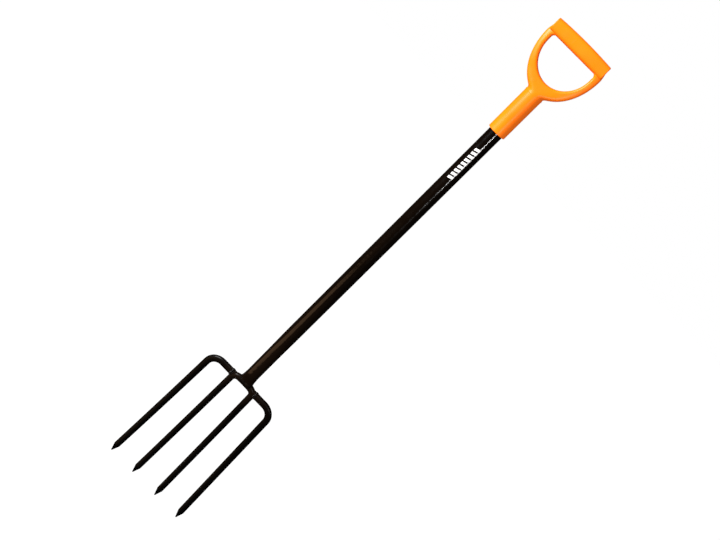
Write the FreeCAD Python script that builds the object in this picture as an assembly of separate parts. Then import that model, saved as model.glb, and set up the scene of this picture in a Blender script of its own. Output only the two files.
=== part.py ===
import FreeCAD, Part
import math
import os

# Digging fork: four steel tines welded under a cranked tubular shaft, with a moulded D-handle on top.
#
# Frame, in millimetres: the origin is on the shaft's axis, level with the tine tips. +Z runs up the
# shaft to the grip, the fork's front faces -Y, and +X is to the right as seen from the front.
# Every height below is a Z value, so it is measured from the tine tips.

# ---- driving dimensions: steel tube -------------------------------------------------------------
TUBE_RADIUS = 14.0
TUBE_WALL = 1.5
TUBE_TOP = 1073.0
TUBE_FOOT = 325.0  # the foot is coped over the rounded bar of the head
PRESS_TOP = 472.0  # from here down to PRESS_FULL the tube is pressed out of round
PRESS_FULL = 410.0
PRESS_ACROSS = 0.45  # taken off the half width and off the half depth by the pressing
PRESS_DEEP = 1.5
PRESS_POWER = 0.6  # added to a round tube's power of 2, so the pressed front is flatter
PINCH_TOP = 349.0  # from here down to the foot the tube is pinched towards the head's bar
PINCH_ACROSS = 1.3
PINCH_DEEP = 3.6

# ---- driving dimensions: the side view ----------------------------------------------------------
CRANK_START = 480.0  # height where the tube starts to bend back
CRANK_RADIUS = 500.0
CRANK_LEAN = math.radians(6.5)
DISH_RADIUS = 1400.0  # the tines curve forward again with this radius
BOW_HEIGHT = 321.0  # top of the centre line of the crosspiece between the two inner tines

# ---- driving dimensions: head -------------------------------------------------------------------
BAR_HEIGHT = 317.0  # centre line of the two outer shoulder bars
TINE_DEEP = 11.2  # front-to-back thickness of the inner bow at its top
BAR_DEEP = 10.4  # the same for the shoulder bars, which end inside the bow's outline
TINE_DEEP_AT_TIP = 9.6
OUTER_WIDTH = 14.4
OUTER_WIDTH_AT_TIP = 13.4
OUTER_TIP_X = 94.9
OUTER_SPLAY = math.radians(2.4)
OUTER_BEND_RADIUS = 25.0
BAR_START_X = 22.0  # inside the inner bow, which trims the bar's end to its own outline
INNER_WIDTH = 13.4
INNER_WIDTH_AT_TIP = 13.0
INNER_TIP_X = 32.6
INNER_SPLAY = math.radians(1.05)
INNER_BEND_RADIUS = 13.0
BOW_ARCH = math.radians(6.0)  # slope of the crosspiece where it leaves the corner bends
BOW_SWELL = 1.1  # extra height of the crosspiece's section in its middle
BOW_SWELL_REACH = 34.0
TINE_POWER = 2.7  # 2 is an ellipse, and a higher power is a squarer bar
POINT_LENGTH = 17.0
POINT_END_HALF = 1.1

# ---- driving dimensions: welds ------------------------------------------------------------------
SHOULDER_WELD_START = 29.5  # X, over the inner bow
SHOULDER_WELD_END = 35.5  # X, over the shoulder bar
SHOULDER_WELD_RISE = 0.9
NECK_WELD_LOW = 321.5
NECK_WELD_HIGH = 331.0
NECK_WELD_BULGE = 1.5

# ---- driving dimensions: D-handle ---------------------------------------------------------------
HANDLE_TOP = 1212.5
GRIP_UNDERSIDE = 1184.7
GRIP_HALF_LENGTH = 59.7
GRIP_CROWN = 2.0
GRIP_HALF_DEEP = 15.5
GRIP_POWER = 3.3
GRIP_END_EDGE = 1.4
GRIP_STATIONS = 12
SOCKET_MOUTH = 1002.8
SOCKET_RADIUS = 17.85
SOCKET_EDGE = 1.2
BORE_TOP = 1076.0
YOKE_START = 1090.0  # the round socket starts to spread into the flat yoke
YOKE_FLAT = 1122.0
YOKE_STEP = 3.0
ARM_TOP = 1207.0  # the arms end inside the grip
ARM_TOP_HALF_WIDTH = 58.6
D_WIDEST = 1182.1  # height of the D's greatest width, and the centre of its outer ellipse
D_HALF_WIDTH = 62.5
D_ELLIPSE_HALF_HEIGHT = 86.9
ARM_HALF_DEEP = 12.2
ARM_POWER = 4.5
HOLE_CENTRE = 1172.3
HOLE_TOP = 1185.2  # just inside the grip's underside
HOLE_HALF_WIDTH = 49.0
HOLE_HALF_HEIGHT = 54.0
HOLE_CORNER = 6.5
HOLE_EDGE = 4.6

# ---- driving dimensions: retaining screw, at the back of the socket -----------------------------
SCREW_HEIGHT = 1036.0
SCREW_RADIUS = 2.1
SCREW_HEAD_RADIUS = 4.0
SCREW_HEAD_THICK = 1.9
SCREW_HEAD_EDGE = 0.8
SCREW_SHANK = 7.5
SCREW_TIP = 1.8
SCREW_RECESS_RADIUS = 4.4
SCREW_RECESS_FLOOR = 15.7  # distance of the recess's floor from the shaft's axis
DRIVE_DEPTH = 1.1
DRIVE_WIDTH = 0.9
DRIVE_LENGTH = 4.6

# ---- driving dimensions: printed mark on the front of the shaft ---------------------------------
MARK_LOW = 890.1
MARK_HIGH = 964.1
MARK_HALF_WIDTH = 5.0
MARK_BARS = 9
MARK_FILL = 0.62  # share of each pitch that is printed
MARK_SLANT = 3.0
MARK_FILM = 0.15

# ---- how finely the curved bars are drawn -------------------------------------------------------
RING_POINTS = 32
STATION_STEP = 12.0
STATION_TURN = math.radians(8)
TUBE_STATIONS = 24
SEAM_TOLERANCE = 0.001

X = FreeCAD.Vector(1, 0, 0)
Y = FreeCAD.Vector(0, 1, 0)
Z = FreeCAD.Vector(0, 0, 1)
BACK = Y


def point(x, y, z):
    return FreeCAD.Vector(x, y, z)


def mirrored(shape):
    """The same shape on the other side of the fork."""
    return shape.mirror(point(0, 0, 0), X)


def set_back(height):
    """How far the steel lies behind the shaft's axis at a height, and its lean there in radians."""
    bend_end = CRANK_START - CRANK_RADIUS * math.sin(CRANK_LEAN)
    if height >= CRANK_START:
        return 0.0, 0.0
    if height >= bend_end:
        lean = math.asin((CRANK_START - height) / CRANK_RADIUS)
        return CRANK_RADIUS * (1 - math.cos(lean)), lean
    after_bend = CRANK_RADIUS * (1 - math.cos(CRANK_LEAN))
    if height >= BOW_HEIGHT:
        return after_bend + (bend_end - height) * math.tan(CRANK_LEAN), CRANK_LEAN
    at_bow = after_bend + (bend_end - BOW_HEIGHT) * math.tan(CRANK_LEAN)
    lean = math.asin(math.sin(CRANK_LEAN) - (BOW_HEIGHT - height) / DISH_RADIUS)
    return at_bow + DISH_RADIUS * (math.cos(lean) - math.cos(CRANK_LEAN)), lean


def ring(centre, across, deep, half_across, half_deep, power):
    """A closed smooth outline: an ellipse at power 2, squarer as the power rises."""
    points = []
    for i in range(RING_POINTS):
        angle = 2 * math.pi * i / RING_POINTS
        c, s = math.cos(angle), math.sin(angle)
        reach = (abs(c) ** power + abs(s) ** power) ** (-1 / power)
        points.append(centre + across * (half_across * c * reach) + deep * (half_deep * s * reach))
    curve = Part.BSplineCurve()
    curve.interpolate(
        Points=points, PeriodicFlag=True, Parameters=[i / RING_POINTS for i in range(RING_POINTS + 1)]
    )
    return Part.Wire(curve.toShape())


def lofted(rows):
    """The open faces through each row of rings."""
    return [face for rings in rows for face in Part.makeLoft(rings, False).Faces]


def sealed(faces):
    """The solid enclosed by faces that meet edge to edge."""
    shape = Part.makeCompound(faces)
    shape.sewShape(SEAM_TOLERANCE)
    solid = Part.makeSolid(shape.Shells[0])
    if solid.Volume < 0:
        solid.reverse()
    return solid


def filled(rings):
    """The solid through one row of rings."""
    return Part.makeLoft(rings, True)


def stations(start, heading, moves):
    """Walks through (length, turn) moves in the XZ plane: a list of (travel, x, z, heading) for each.

    A turn, in radians, bends its move into an arc. Each list starts where the one before it ended.
    """
    x, z = start
    travel = 0.0
    found = []
    for length, turn in moves:
        steps = max(math.ceil(length / STATION_STEP), math.ceil(abs(turn) / STATION_TURN))
        part, bend = length / steps, turn / steps
        chord = part if turn == 0 else 2 * part / bend * math.sin(bend / 2)
        row = [(travel, x, z, heading)]
        for _ in range(steps):
            x += chord * math.cos(heading + bend / 2)
            z += chord * math.sin(heading + bend / 2)
            heading += bend
            travel += part
            row.append((travel, x, z, heading))
        found.append(row)
    return found


def bar_ring(x, z, heading, width, deep, power=TINE_POWER):
    """A ring square to a bar that runs along heading in the head's dished surface."""
    y, lean = set_back(z)
    back = point(0, math.cos(lean), math.sin(lean))
    along = point(math.cos(heading), -math.sin(heading) * math.tan(lean), math.sin(heading))
    across = along.cross(back)
    across.normalize()
    return ring(point(x, y, z), across, back, width / 2, deep / 2, power)


def bar_rows(start, heading, moves, size_at):
    """The rings of a bar along the moves, a row for each, where size_at(travel) is (width, deep)."""
    return [
        [bar_ring(x, z, turned, *size_at(travel)) for travel, x, z, turned in row]
        for row in stations(start, heading, moves)
    ]


def outer_tine(bow):
    """The right outer tine: a shoulder bar that bends down into the tine and ends in a point."""
    turn = math.pi / 2 - OUTER_SPLAY
    bend_bottom = BAR_HEIGHT - OUTER_BEND_RADIUS * (1 - math.cos(turn))
    bend_bottom_x = OUTER_TIP_X - bend_bottom * math.tan(OUTER_SPLAY)
    bend_top_x = bend_bottom_x - OUTER_BEND_RADIUS * math.sin(turn)
    straight = (bend_bottom - POINT_LENGTH) / math.cos(OUTER_SPLAY)
    moves = [(bend_top_x - BAR_START_X, 0), (OUTER_BEND_RADIUS * turn, -turn), (straight, 0)]
    total = sum(length for length, _ in moves)

    def size_at(travel):
        share = travel / total
        width = OUTER_WIDTH + (OUTER_WIDTH_AT_TIP - OUTER_WIDTH) * share
        return width, BAR_DEEP + (TINE_DEEP_AT_TIP - BAR_DEEP) * share

    rows = bar_rows((BAR_START_X, BAR_HEIGHT), 0.0, moves, size_at)
    tip = bar_ring(OUTER_TIP_X, 0, -turn, 2 * POINT_END_HALF, 2 * POINT_END_HALF, 2)
    rows.append([rows[-1][-1], tip])
    caps = [Part.Face(rows[0][0]), Part.Face(tip)]
    return sealed(lofted(rows) + caps).cut(bow)


def eased(value, start, end):
    """0 at start, 1 at end, and smooth in between."""
    share = min(1.0, max(0.0, (value - start) / (end - start)))
    return share * share * (3 - 2 * share)


def inner_bow():
    """The two inner tines and the crosspiece between them, one bent bar."""
    slope, half_arch = math.tan(INNER_SPLAY), math.tan(BOW_ARCH / 2)
    corner = math.pi / 2 - INNER_SPLAY - BOW_ARCH
    corner_run = INNER_BEND_RADIUS * (math.cos(INNER_SPLAY) - math.sin(BOW_ARCH))
    corner_rise = INNER_BEND_RADIUS * (math.cos(BOW_ARCH) - math.sin(INNER_SPLAY))
    arch_rise = (INNER_TIP_X - corner_run) * half_arch
    bend_height = (BOW_HEIGHT - corner_rise - arch_rise) / (1 - slope * half_arch)
    arch_start_x = INNER_TIP_X - bend_height * slope - corner_run
    straight = (bend_height - POINT_LENGTH) / math.cos(INNER_SPLAY)
    half = [
        (straight, 0),
        (INNER_BEND_RADIUS * corner, corner),
        (arch_start_x / math.sin(BOW_ARCH) * BOW_ARCH, BOW_ARCH),
    ]
    half_length = sum(length for length, _ in half)
    start = (INNER_TIP_X - POINT_LENGTH * slope, POINT_LENGTH)

    def size_at(travel):
        from_middle = half_length - travel
        share = from_middle / half_length
        swell = BOW_SWELL * eased(from_middle, BOW_SWELL_REACH, 0)
        width = INNER_WIDTH + (INNER_WIDTH_AT_TIP - INNER_WIDTH) * share + swell
        return width, TINE_DEEP + (TINE_DEEP_AT_TIP - TINE_DEEP) * share

    heading = math.pi / 2 + INNER_SPLAY
    rows = bar_rows(start, heading, half, size_at)
    tip = bar_ring(INNER_TIP_X, 0, heading, 2 * POINT_END_HALF, 2 * POINT_END_HALF, 2)
    rows.append([tip, rows[0][0]])
    right = lofted(rows) + [Part.Face(tip)]
    return sealed(right + [mirrored(face) for face in right])


def tube_ring(height, inset):
    """The tube's outline at a height, drawn inset inside its skin: round above the crank, then pressed."""
    y, lean = set_back(height)
    press = eased(height, PRESS_TOP, PRESS_FULL)
    pinch = eased(height, PINCH_TOP, TUBE_FOOT)
    half_across = TUBE_RADIUS - PRESS_ACROSS * press + PINCH_ACROSS * pinch - inset
    half_deep = TUBE_RADIUS - PRESS_DEEP * press - PINCH_DEEP * pinch - inset
    back = point(0, math.cos(lean), math.sin(lean))
    return ring(point(0, y, height), X, back, half_across, half_deep, 2 + PRESS_POWER * press)


def tube_core(inset):
    """The whole tube as a filled solid, drawn inset inside its skin."""
    step = (CRANK_START - TUBE_FOOT) / TUBE_STATIONS
    neck = [tube_ring(CRANK_START - step * i, inset) for i in range(TUBE_STATIONS + 1)]
    top = tube_ring(TUBE_TOP, inset)
    caps = [Part.Face(top), Part.Face(neck[-1])]
    return sealed(lofted([[top, neck[0]], neck]) + caps)


def shaft_tube(bow):
    """The tube: straight at the top, and at its lower end bent back, pressed and coped over the bow."""
    hole = Part.makeCylinder(SCREW_RADIUS, TUBE_RADIUS, point(0, 0, SCREW_HEIGHT), BACK)
    return tube_core(0).cut([tube_core(TUBE_WALL), bow, hole])


def welded(rings, *steel):
    """A weld bead: the solid through the rings, less the steel that it lies on."""
    bead = filled(rings).cut(list(steel))
    return max(bead.Solids, key=lambda solid: solid.Volume)


def shoulder_weld(bow, tine):
    """The bead round the right shoulder bar where it butts against the inner bow."""
    run = SHOULDER_WELD_END - SHOULDER_WELD_START
    rings = []
    for share, rise in ((0, 0.1), (0.3, 0.9), (0.5, 1.0), (0.7, 0.9), (1, 0.1)):
        grow = 2 * SHOULDER_WELD_RISE * rise
        x = SHOULDER_WELD_START + run * share
        rings.append(bar_ring(x, BAR_HEIGHT, 0.0, OUTER_WIDTH + grow, BAR_DEEP + grow))
    return welded(rings, bow, tine)


def neck_weld(bow):
    """The bead round the foot of the tube, on top of the crosspiece."""
    lean = set_back(TUBE_FOOT)[1]
    back = point(0, math.cos(lean), math.sin(lean))
    foot_across = TUBE_RADIUS - PRESS_ACROSS + PINCH_ACROSS
    foot_deep = TUBE_RADIUS - PRESS_DEEP - PINCH_DEEP
    run = NECK_WELD_HIGH - NECK_WELD_LOW
    rings = []
    for share, bulge in ((0, -0.3), (0.25, 1.0), (0.5, 0.75), (0.75, 0.35), (1, 0.05)):
        height = NECK_WELD_LOW + run * share
        grow = NECK_WELD_BULGE * bulge
        middle = point(0, set_back(height)[0], height)
        deep = foot_deep + grow if bulge > 0 else TINE_DEEP / 2 + 1
        rings.append(ring(middle, X, back, foot_across + grow, deep, 2.4))
    return welded(rings, tube_core(0), bow)


def yoke_ring(height):
    """The handle's outline at a height of its yoke and arms, from the round socket to the flat D."""
    below = min(1.0, max(0.0, D_WIDEST - height) / D_ELLIPSE_HALF_HEIGHT)
    spread = D_HALF_WIDTH * math.sqrt(1 - below * below)
    half_width = (spread**4 + SOCKET_RADIUS**4 * eased(height, D_WIDEST, YOKE_FLAT)) ** 0.25
    half_width -= (D_HALF_WIDTH - ARM_TOP_HALF_WIDTH) * eased(height, D_WIDEST, ARM_TOP)
    flat = eased(height, YOKE_START, YOKE_FLAT)
    half_deep = SOCKET_RADIUS + (ARM_HALF_DEEP - SOCKET_RADIUS) * flat
    return ring(point(0, 0, height), X, Y, half_width, half_deep, 2 + (ARM_POWER - 2) * flat)


def hand_hole():
    """The D-shaped opening as a prism: a half ellipse below, and rounded corners under the grip."""
    side, corner_z = HOLE_HALF_WIDTH, HOLE_TOP - HOLE_CORNER
    ellipse = Part.Ellipse(
        point(0, 0, HOLE_CENTRE - HOLE_HALF_HEIGHT), point(side, 0, HOLE_CENTRE), point(0, 0, HOLE_CENTRE)
    )
    bottom = Part.ArcOfEllipse(ellipse, -math.pi / 2, math.pi / 2).toShape()
    ends = sorted((vertex.Point for vertex in bottom.Vertexes), key=lambda end: end.x)
    diagonal = HOLE_CORNER * math.sqrt(0.5)
    edges = [bottom]
    for sign, end in ((-1, ends[0]), (1, ends[1])):
        side_top = point(sign * side, 0, corner_z)
        corner_end = point(sign * (side - HOLE_CORNER), 0, HOLE_TOP)
        middle = point(sign * (side - HOLE_CORNER + diagonal), 0, corner_z + diagonal)
        edges.append(Part.makeLine(end, side_top))
        edges.append(Part.Arc(side_top, middle, corner_end).toShape())
    top_start = point(HOLE_CORNER - side, 0, HOLE_TOP)
    top_end = point(side - HOLE_CORNER, 0, HOLE_TOP)
    edges.append(Part.makeLine(top_start, top_end))
    outline = Part.Wire(Part.__sortEdges__(edges))
    prism = Part.Face(outline).extrude(Y * (4 * ARM_HALF_DEEP))
    prism.translate(Y * (-2 * ARM_HALF_DEEP))
    return prism


def d_frame():
    """The socket, the yoke and the two arms, with the hand hole's and the mouth's edges rounded."""
    count = round((ARM_TOP - YOKE_START) / YOKE_STEP)
    yoke = [yoke_ring(YOKE_START + (ARM_TOP - YOKE_START) * i / count) for i in range(count + 1)]
    mouth = yoke_ring(SOCKET_MOUTH)
    caps = [Part.Face(mouth), Part.Face(yoke[-1])]
    frame = sealed(lofted([[mouth, yoke[0]], yoke]) + caps).cut(hand_hole())
    rim = []
    for edge in frame.Edges:
        box = edge.BoundBox
        in_hole = box.XMax < HOLE_HALF_WIDTH + 0.1 and box.XMin > -HOLE_HALF_WIDTH - 0.1
        beside_face = box.YMin > ARM_HALF_DEEP / 2 or box.YMax < -ARM_HALF_DEEP / 2
        if in_hole and beside_face and box.ZMax < HOLE_TOP + 0.1 and box.ZMin > YOKE_START + 1:
            rim.append(edge)
    frame = frame.makeFillet(HOLE_EDGE, rim)
    mouth_rim = [edge for edge in frame.Edges if edge.BoundBox.ZMax < SOCKET_MOUTH + 0.01]
    frame = frame.makeFillet(SOCKET_EDGE, mouth_rim)
    web_half = HOLE_HALF_WIDTH - HOLE_CORNER - 1.5
    web = Part.makeBox(
        2 * web_half, 4 * ARM_HALF_DEEP, 12, point(-web_half, -2 * ARM_HALF_DEEP, HOLE_TOP - 2)
    )
    return frame.cut(web)


def grip():
    """The grip bar: flat underside line, crowned top, flat ends with a small rounded edge."""
    rings = []
    for i in range(GRIP_STATIONS + 1):
        share = 2 * i / GRIP_STATIONS - 1
        half_high = (HANDLE_TOP - GRIP_UNDERSIDE - GRIP_CROWN * share * share) / 2
        middle = point(GRIP_HALF_LENGTH * share, 0, GRIP_UNDERSIDE + half_high)
        rings.append(ring(middle, Y, Z, GRIP_HALF_DEEP, half_high, GRIP_POWER))
    bar = filled(rings)
    ends = [edge for edge in bar.Edges if edge.BoundBox.XLength < 0.01]
    return bar.makeFillet(GRIP_END_EDGE, ends)


def d_handle():
    """The one-piece moulded handle: socket, yoke, two arms and grip, bored for the tube."""
    body = d_frame().fuse(grip())
    bore = Part.makeCylinder(TUBE_RADIUS, BORE_TOP - SOCKET_MOUTH, point(0, 0, SOCKET_MOUTH))
    screw_axis = point(0, 0, SCREW_HEIGHT)
    shank_hole = Part.makeCylinder(SCREW_RADIUS, SOCKET_RADIUS, screw_axis, BACK)
    recess = Part.makeCylinder(SCREW_RECESS_RADIUS, 10, screw_axis + BACK * SCREW_RECESS_FLOOR, BACK)
    return body.cut([bore, shank_hole, recess])


def handle_screw():
    """A pan-head screw through the back of the socket into the tube, with a cross recess."""
    seat = point(0, SCREW_RECESS_FLOOR, SCREW_HEIGHT)
    head = Part.makeCylinder(SCREW_HEAD_RADIUS, SCREW_HEAD_THICK, seat, BACK)
    outer_edge = [edge for edge in head.Edges if edge.BoundBox.YMin > SCREW_RECESS_FLOOR + 0.1]
    head = head.makeFillet(SCREW_HEAD_EDGE, outer_edge)
    shank = Part.makeCylinder(SCREW_RADIUS, SCREW_SHANK, seat, -BACK)
    tip = Part.makeCone(SCREW_RADIUS, 0.3, SCREW_TIP, seat - BACK * SCREW_SHANK, -BACK)
    slot_y = SCREW_RECESS_FLOOR + SCREW_HEAD_THICK - DRIVE_DEPTH
    slots = []
    for wide, high in ((DRIVE_LENGTH, DRIVE_WIDTH), (DRIVE_WIDTH, DRIVE_LENGTH)):
        corner = point(-wide / 2, slot_y, SCREW_HEIGHT - high / 2)
        slots.append(Part.makeBox(wide, DRIVE_DEPTH + 1, high, corner))
    return head.fuse([shank, tip]).cut(slots)


def printed_mark():
    """A plain row of slanted bars printed on the front of the shaft, as a thin film."""
    low = point(0, 0, MARK_LOW - MARK_SLANT)
    length = MARK_HIGH - MARK_LOW + 2 * MARK_SLANT
    film = Part.makeCylinder(TUBE_RADIUS + MARK_FILM, length, low)
    film = film.cut(Part.makeCylinder(TUBE_RADIUS, length, low))
    pitch = (MARK_HIGH - MARK_LOW) / MARK_BARS
    bars = []
    for i in range(MARK_BARS):
        left_z = MARK_LOW + pitch * i
        right_z = left_z + MARK_SLANT
        corners = [
            point(-MARK_HALF_WIDTH, 0, left_z),
            point(MARK_HALF_WIDTH, 0, right_z),
            point(MARK_HALF_WIDTH, 0, right_z + pitch * MARK_FILL),
            point(-MARK_HALF_WIDTH, 0, left_z + pitch * MARK_FILL),
        ]
        outline = Part.makePolygon(corners + corners[:1])
        bars.append(Part.Face(outline).extrude(Y * (-2 * TUBE_RADIUS)).common(film))
    return Part.makeCompound([solid for bar in bars for solid in bar.Solids])


def main():
    os.makedirs("parts", exist_ok=True)
    bow = inner_bow()
    right_tine = outer_tine(bow)
    right_weld = shoulder_weld(bow, right_tine)
    nodes = {
        "d_handle": d_handle(),
        "handle_screw": handle_screw(),
        "shaft_tube": shaft_tube(bow),
        "printed_mark": printed_mark(),
        "neck_weld": neck_weld(bow),
        "inner_tine_bow": bow,
        "outer_tine_right": right_tine,
        "outer_tine_left": mirrored(right_tine),
        "shoulder_weld_right": right_weld,
        "shoulder_weld_left": mirrored(right_weld),
    }
    for name, shape in nodes.items():
        shape.exportStep(f"parts/{name}.step")


if __name__ == "__main__":
    main()
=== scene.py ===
import math

import bpy
from mathutils import Matrix, Vector

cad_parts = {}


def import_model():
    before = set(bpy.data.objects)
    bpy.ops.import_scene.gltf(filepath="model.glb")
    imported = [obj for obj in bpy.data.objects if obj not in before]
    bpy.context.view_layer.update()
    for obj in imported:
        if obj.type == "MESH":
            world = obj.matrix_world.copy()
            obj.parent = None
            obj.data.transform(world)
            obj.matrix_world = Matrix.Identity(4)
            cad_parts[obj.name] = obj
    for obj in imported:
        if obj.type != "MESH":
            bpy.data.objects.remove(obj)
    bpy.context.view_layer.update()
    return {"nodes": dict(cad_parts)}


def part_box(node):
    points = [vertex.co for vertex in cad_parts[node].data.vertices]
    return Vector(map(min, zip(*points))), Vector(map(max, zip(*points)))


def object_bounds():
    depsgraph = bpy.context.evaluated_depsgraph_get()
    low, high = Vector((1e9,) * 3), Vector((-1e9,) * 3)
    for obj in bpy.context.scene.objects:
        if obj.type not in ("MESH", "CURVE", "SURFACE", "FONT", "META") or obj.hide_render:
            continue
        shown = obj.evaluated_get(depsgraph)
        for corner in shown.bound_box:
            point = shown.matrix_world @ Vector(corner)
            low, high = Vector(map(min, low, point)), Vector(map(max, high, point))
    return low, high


# Digging fork. The shapes are the CAD nodes; this script gives them their materials, and adds the
# floor, the lights and the camera. Metres, in the model's frame: Z up the shaft, front facing -Y.

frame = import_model()
nodes = frame["nodes"]

# ---- colours (linear) ---------------------------------------------------------------------------
ORANGE = (1.0, 0.182, 0.0006, 1)
ORANGE_DEEP = (0.96, 0.145, 0.0004, 1)
SHAFT_PAINT = (0.0022, 0.0011, 0.0005, 1)
SHAFT_WARM = (0.0034, 0.0016, 0.0007, 1)
TINE_PAINT = (0.0003, 0.0003, 0.0003, 1)
TINE_WARM = (0.0009, 0.0007, 0.0006, 1)
# a brown used two ways: as a painted sheen on the lower shaft and head, standing in for reflected
# light, and as a random tone on the weld beads
PAINT_BROWN_TONE_AND_SHEEN = (0.0052, 0.0026, 0.0013, 1)
INK = (0.66, 0.65, 0.64, 1)
INK_THIN = (0.34, 0.33, 0.32, 1)
ZINC = (0.62, 0.61, 0.58, 1)
ZINC_DULL = (0.40, 0.39, 0.37, 1)
FLOOR = (0.060, 0.060, 0.060, 1)
FLOOR_LIGHT = (0.066, 0.066, 0.066, 1)
WARM_LIGHT = (1.0, 0.60, 0.32)

# ---- floor and world ----------------------------------------------------------------------------
FLOOR_HALF_SIZE = 9.0
FLOOR_GAP = 0.0005  # between the floor and the tine tips
FLOOR_GLOW = 0.975
WORLD_SEEN = 1.0
WORLD_GIVEN = 0.50
WORLD_IN_GLOSS = 0.008

# ---- paint: the painted brown sheen is full up to the first width from the middle and fades by the second ---
SHEEN_FULL_X = 0.030
SHEEN_FADED_X = 0.065
SHEEN_FADED = 0.35

# ---- camera -------------------------------------------------------------------------------------
CAMERA_AIM = Vector((0.0031, 0, 0.6530))
CAMERA_AZIMUTH = math.radians(2.09)
CAMERA_ELEVATION = math.radians(17.18)
CAMERA_ROLL = math.radians(45.22)
CAMERA_DISTANCE = 1.8064
CAMERA_LENS = 49.35


class Nodes:
    """Short calls for building one material's node tree."""

    def __init__(self, name):
        self.material = bpy.data.materials.new(name)
        self.material.use_nodes = True
        self.tree = self.material.node_tree
        self.shader = self.tree.nodes["Principled BSDF"]
        self.position = self.add("ShaderNodeTexCoord").outputs["Object"]

    def add(self, kind, **settings):
        node = self.tree.nodes.new(kind)
        for key, value in settings.items():
            setattr(node, key, value)
        return node

    def put(self, value, socket):
        """Links value to the socket if it is a socket itself, and sets it if it is a number."""
        if isinstance(value, bpy.types.NodeSocket):
            self.tree.links.new(value, socket)
        else:
            socket.default_value = value

    def noise(self, scale, detail=3.0, roughness=0.5, stretch=(1, 1, 1)):
        mapping = self.add("ShaderNodeMapping")
        mapping.inputs["Scale"].default_value = stretch
        self.put(self.position, mapping.inputs["Vector"])
        node = self.add("ShaderNodeTexNoise")
        self.put(mapping.outputs["Vector"], node.inputs["Vector"])
        node.inputs["Scale"].default_value = scale
        node.inputs["Detail"].default_value = detail
        node.inputs["Roughness"].default_value = roughness
        return node.outputs["Fac"]

    def ranged(self, value, low, high, to_low=0.0, to_high=1.0):
        """Value mapped smoothly from low..high to to_low..to_high, and held at the ends."""
        node = self.add("ShaderNodeMapRange", interpolation_type="SMOOTHSTEP")
        for key, number in (
            ("Value", value),
            ("From Min", low),
            ("From Max", high),
            ("To Min", to_low),
            ("To Max", to_high),
        ):
            self.put(number, node.inputs[key])
        return node.outputs["Result"]

    def math(self, operation, first, second=0.0):
        node = self.add("ShaderNodeMath", operation=operation)
        self.put(first, node.inputs[0])
        self.put(second, node.inputs[1])
        return node.outputs[0]

    def mixed(self, share, first, second):
        node = self.add("ShaderNodeMix", data_type="RGBA")
        self.put(share, node.inputs["Factor"])
        self.put(first, node.inputs["A"])
        self.put(second, node.inputs["B"])
        return node.outputs["Result"]

    def bump(self, height, distance, strength=1.0, under=None):
        node = self.add("ShaderNodeBump")
        node.inputs["Strength"].default_value = strength
        node.inputs["Distance"].default_value = distance
        self.put(height, node.inputs["Height"])
        if under is not None:
            self.put(under, node.inputs["Normal"])
        return node.outputs["Normal"]

    def axes(self):
        node = self.add("ShaderNodeSeparateXYZ")
        self.put(self.position, node.inputs["Vector"])
        return node.outputs

    def finish(self, color, roughness, normal=None, metallic=0.0):
        self.put(color, self.shader.inputs["Base Color"])
        self.put(roughness, self.shader.inputs["Roughness"])
        self.shader.inputs["Metallic"].default_value = metallic
        if normal is not None:
            self.put(normal, self.shader.inputs["Normal"])
        return self.material


def orange_plastic():
    """Moulded plastic: fine grain, a faint parting line round the middle plane, light scuffs."""
    make = Nodes("orange_plastic")
    tone = make.ranged(make.noise(14, 3), 0.35, 0.65)
    flow = make.ranged(make.noise(60, 4, 0.6, (1, 1, 0.25)), 0.3, 0.7, 0.0, 0.35)
    color = make.mixed(make.math("MULTIPLY", make.math("ADD", tone, flow), 0.5), ORANGE, ORANGE_DEEP)
    scuffs = make.ranged(make.noise(120, 6, 0.7, (1, 1, 0.2)), 0.56, 0.68)
    sheen = make.ranged(make.noise(45, 3), 0.3, 0.7, 0.29, 0.39)
    roughness = make.math("ADD", sheen, make.math("MULTIPLY", scuffs, 0.12))
    make.shader.inputs["Specular IOR Level"].default_value = 0.20
    grain = make.bump(make.noise(1500, 2), 0.00003, 0.35)
    side = make.math("ABSOLUTE", make.axes()["Y"])
    parting = make.ranged(side, 0.0001, 0.0004, 1.0, 0.0)
    return make.finish(color, roughness, make.bump(parting, 0.00012, 0.8, grain))


def black_paint(name, shades, rough_low, rough_high, peel, gloss, sheen_heights):
    """Black enamel over steel: orange peel, uneven gloss, and a brown sheen painted in near the welds,
    a painted reflection of light.

    shades are the two colours that the enamel drifts between. The last argument is the pair of heights
    between which the painted brown sheen grows from none to full, and it is weaker towards the sides.
    """
    make = Nodes(name)
    cloud = make.ranged(make.noise(22, 4, 0.6, (1, 1, 0.3)), 0.35, 0.68)
    color = make.mixed(cloud, *shades)
    edge = make.math("MULTIPLY", make.math("SUBTRACT", make.noise(35, 3), 0.5), 0.06)
    axes = make.axes()
    # painted sheen: brown colour standing in for reflected light, grown in by height and weaker
    # towards the sides
    painted_sheen = make.ranged(make.math("ADD", axes["Z"], edge), *sheen_heights)
    side = make.math("ABSOLUTE", axes["X"])
    sheen_side_fade = make.ranged(side, SHEEN_FULL_X, SHEEN_FADED_X, 1.0, SHEEN_FADED)
    color = make.mixed(make.math("MULTIPLY", painted_sheen, sheen_side_fade), color, PAINT_BROWN_TONE_AND_SHEEN)
    make.shader.inputs["Specular IOR Level"].default_value = gloss
    roughness = make.ranged(make.noise(70, 5, 0.65), 0.3, 0.7, rough_low, rough_high)
    waves = make.bump(make.noise(260, 2), 0.00010, peel)
    return make.finish(color, roughness, make.bump(make.noise(1900, 2), 0.00003, peel, waves))


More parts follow.
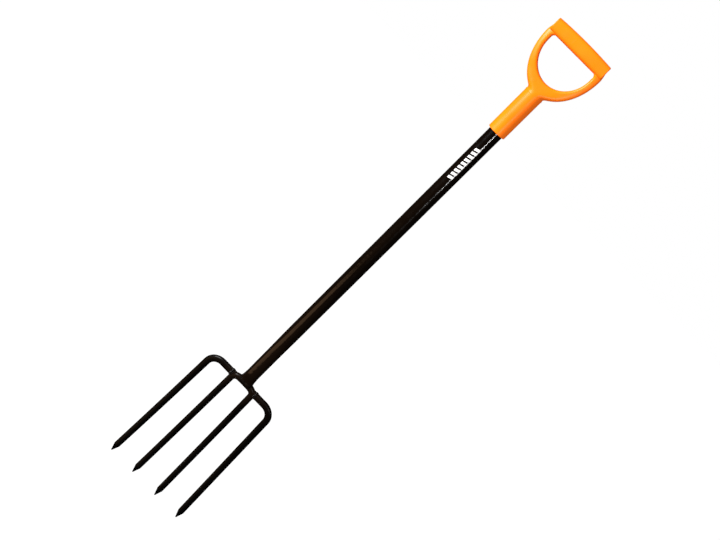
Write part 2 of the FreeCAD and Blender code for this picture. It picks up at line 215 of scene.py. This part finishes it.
def weld_paint(name, across, up, centre, count):
    """Painted weld bead, with ripples that follow the bead round its bar.

    across and up name the axes of the plane that the bead turns in, and count sets how many
    ripples there are.
    """
    make = Nodes(name)
    axes = make.axes()
    first = make.math("SUBTRACT", axes[across], centre[0])
    second = make.math("SUBTRACT", axes[up], centre[1])
    turn = make.math("ARCTAN2", first, second)
    wander = make.math("MULTIPLY", make.noise(160, 2), 2.2)
    ripple = make.math("SINE", make.math("ADD", make.math("MULTIPLY", turn, count), wander))
    ripples = make.bump(make.math("MULTIPLY", ripple, 0.5), 0.0006, 0.9)
    lumps = make.bump(make.noise(380, 4, 0.6), 0.0004, 0.6, ripples)
    color = make.mixed(make.ranged(make.noise(300, 3), 0.35, 0.65), TINE_WARM, PAINT_BROWN_TONE_AND_SHEEN)
    make.shader.inputs["Specular IOR Level"].default_value = 0.20
    return make.finish(color, make.ranged(make.noise(200, 4), 0.3, 0.7, 0.26, 0.46), lumps)


def printed_ink():
    """Screen-print ink, thin in places."""
    make = Nodes("printed_ink")
    worn = make.ranged(make.noise(520, 5, 0.7), 0.55, 0.72, 0.0, 0.8)
    film = make.bump(make.noise(1600, 2), 0.00002, 0.4)
    return make.finish(make.mixed(worn, INK, INK_THIN), make.ranged(worn, 0.0, 0.8, 0.42, 0.6), film)


def zinc():
    """Zinc-plated steel, brushed and dull enough that it scatters light as well as mirroring it."""
    make = Nodes("zinc_plate")
    dull = make.ranged(make.noise(900, 4, 0.6), 0.4, 0.65)
    brushed = make.bump(make.noise(2500, 2, 0.5, (1, 1, 0.1)), 0.00003, 0.5)
    roughness = make.ranged(dull, 0.0, 1.0, 0.24, 0.42)
    return make.finish(make.mixed(dull, ZINC, ZINC_DULL), roughness, brushed, metallic=0.45)


def middle(node):
    low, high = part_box(node)
    return (Vector(low) + Vector(high)) / 2


def give(material, *names):
    for name in names:
        slots = nodes[name].data.materials
        slots.clear()
        slots.append(material)


give(orange_plastic(), "d_handle")
shaft_enamel = black_paint(
    "shaft_enamel",
    shades=(SHAFT_PAINT, SHAFT_WARM),
    rough_low=0.11,
    rough_high=0.18,
    peel=0.08,
    gloss=0.5,
    # heights over which a brown sheen is painted onto the lower shaft, standing in for reflected light
    sheen_heights=(0.62, 0.36),
)
give(shaft_enamel, "shaft_tube")
tine_enamel = black_paint(
    "tine_enamel",
    shades=(TINE_PAINT, TINE_WARM),
    rough_low=0.26,
    rough_high=0.40,
    peel=0.30,
    gloss=0.16,
    # heights over which a brown sheen is painted onto the tops of the tines, standing in for reflected
    # light
    sheen_heights=(0.262, 0.33),
)
give(
    tine_enamel,
    "inner_tine_bow",
    "outer_tine_left",
    "outer_tine_right",
)
neck = middle("neck_weld")
give(weld_paint("neck_weld_paint", "X", "Y", centre=(neck.x, neck.y), count=34), "neck_weld")
for side in ("left", "right"):
    bead = middle(f"shoulder_weld_{side}")
    give(
        weld_paint(f"shoulder_weld_{side}_paint", "Y", "Z", centre=(bead.y, bead.z), count=18),
        f"shoulder_weld_{side}",
    )
give(printed_ink(), "printed_mark")
give(zinc(), "handle_screw")


# ---- floor --------------------------------------------------------------------------------------
def floor():
    """A wide pale floor just under the tine tips. It stays out of reflections and casts no shadow."""
    half, z = FLOOR_HALF_SIZE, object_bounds()[0].z - FLOOR_GAP
    mesh = bpy.data.meshes.new("studio_floor")
    corners = [(-half, -half, z), (half, -half, z), (half, half, z), (-half, half, z)]
    mesh.from_pydata(corners, [], [(0, 1, 2, 3)])
    plane = bpy.data.objects.new("studio_floor", mesh)
    bpy.context.scene.collection.objects.link(plane)
    make = Nodes("studio_floor")
    shade = make.ranged(make.noise(1.5, 2), 0.3, 0.7, 0.0, 1.0)
    make.shader.inputs["Emission Color"].default_value = (1, 1, 1, 1)
    make.shader.inputs["Emission Strength"].default_value = FLOOR_GLOW
    mesh.materials.append(make.finish(make.mixed(shade, FLOOR, FLOOR_LIGHT), 0.9))
    plane.visible_glossy = False
    plane.visible_diffuse = False
    plane.visible_shadow = False


floor()


# ---- lights -------------------------------------------------------------------------------------
def world():
    """White behind the object; dimmer for the light it gives, and dark in gloss, like a black flag."""
    made = bpy.data.worlds.new("studio")
    made.use_nodes = True
    tree = made.node_tree
    background = tree.nodes["Background"]
    ray = tree.nodes.new("ShaderNodeLightPath")
    gloss = tree.nodes.new("ShaderNodeMix")
    gloss.inputs["A"].default_value = WORLD_GIVEN
    gloss.inputs["B"].default_value = WORLD_IN_GLOSS
    seen = tree.nodes.new("ShaderNodeMix")
    seen.inputs["B"].default_value = WORLD_SEEN
    tree.links.new(ray.outputs["Is Glossy Ray"], gloss.inputs["Factor"])
    tree.links.new(gloss.outputs["Result"], seen.inputs["A"])
    tree.links.new(ray.outputs["Is Camera Ray"], seen.inputs["Factor"])
    tree.links.new(seen.outputs["Result"], background.inputs["Strength"])
    background.inputs["Color"].default_value = (1, 1, 1, 1)
    bpy.context.scene.world = made


def softbox(name, place, target, size, watts, color=(1, 1, 1)):
    lamp = bpy.data.lights.new(name, "AREA")
    lamp.shape = "RECTANGLE"
    lamp.size, lamp.size_y = size
    lamp.energy = watts
    lamp.color = color
    box = bpy.data.objects.new(name, lamp)
    box.location = place
    box.rotation_euler = (Vector(target) - Vector(place)).to_track_quat("-Z", "Y").to_euler()
    box.visible_camera = False
    bpy.context.scene.collection.objects.link(box)


world()
softbox("key_left", (-1.6, -1.3, 1.55), (0, 0, 1.05), (0.9, 0.9), 108)
softbox("low_left", (-1.05, -1.30, -0.42), (0, 0, 0.42), (1.6, 1.0), 4.5, WARM_LIGHT)
softbox("line_right", (0.74, -1.30, 0.76), (0, 0, 0.94), (0.04, 0.24), 4.6)


# ---- camera -------------------------------------------------------------------------------------
def camera():
    data = bpy.data.cameras.new("camera")
    data.lens = CAMERA_LENS
    made = bpy.data.objects.new("camera", data)
    azimuth, elevation = CAMERA_AZIMUTH, CAMERA_ELEVATION
    flat = math.cos(elevation)
    back = Vector((math.sin(azimuth) * flat, -math.cos(azimuth) * flat, math.sin(elevation)))
    turned = back.to_track_quat("Z", "Y").to_matrix() @ Matrix.Rotation(CAMERA_ROLL, 3, "Z")
    made.matrix_world = Matrix.Translation(CAMERA_AIM + back * CAMERA_DISTANCE) @ turned.to_4x4()
    bpy.context.scene.collection.objects.link(made)
    bpy.context.scene.camera = made


camera()
bpy.context.scene.view_settings.view_transform = "Standard"
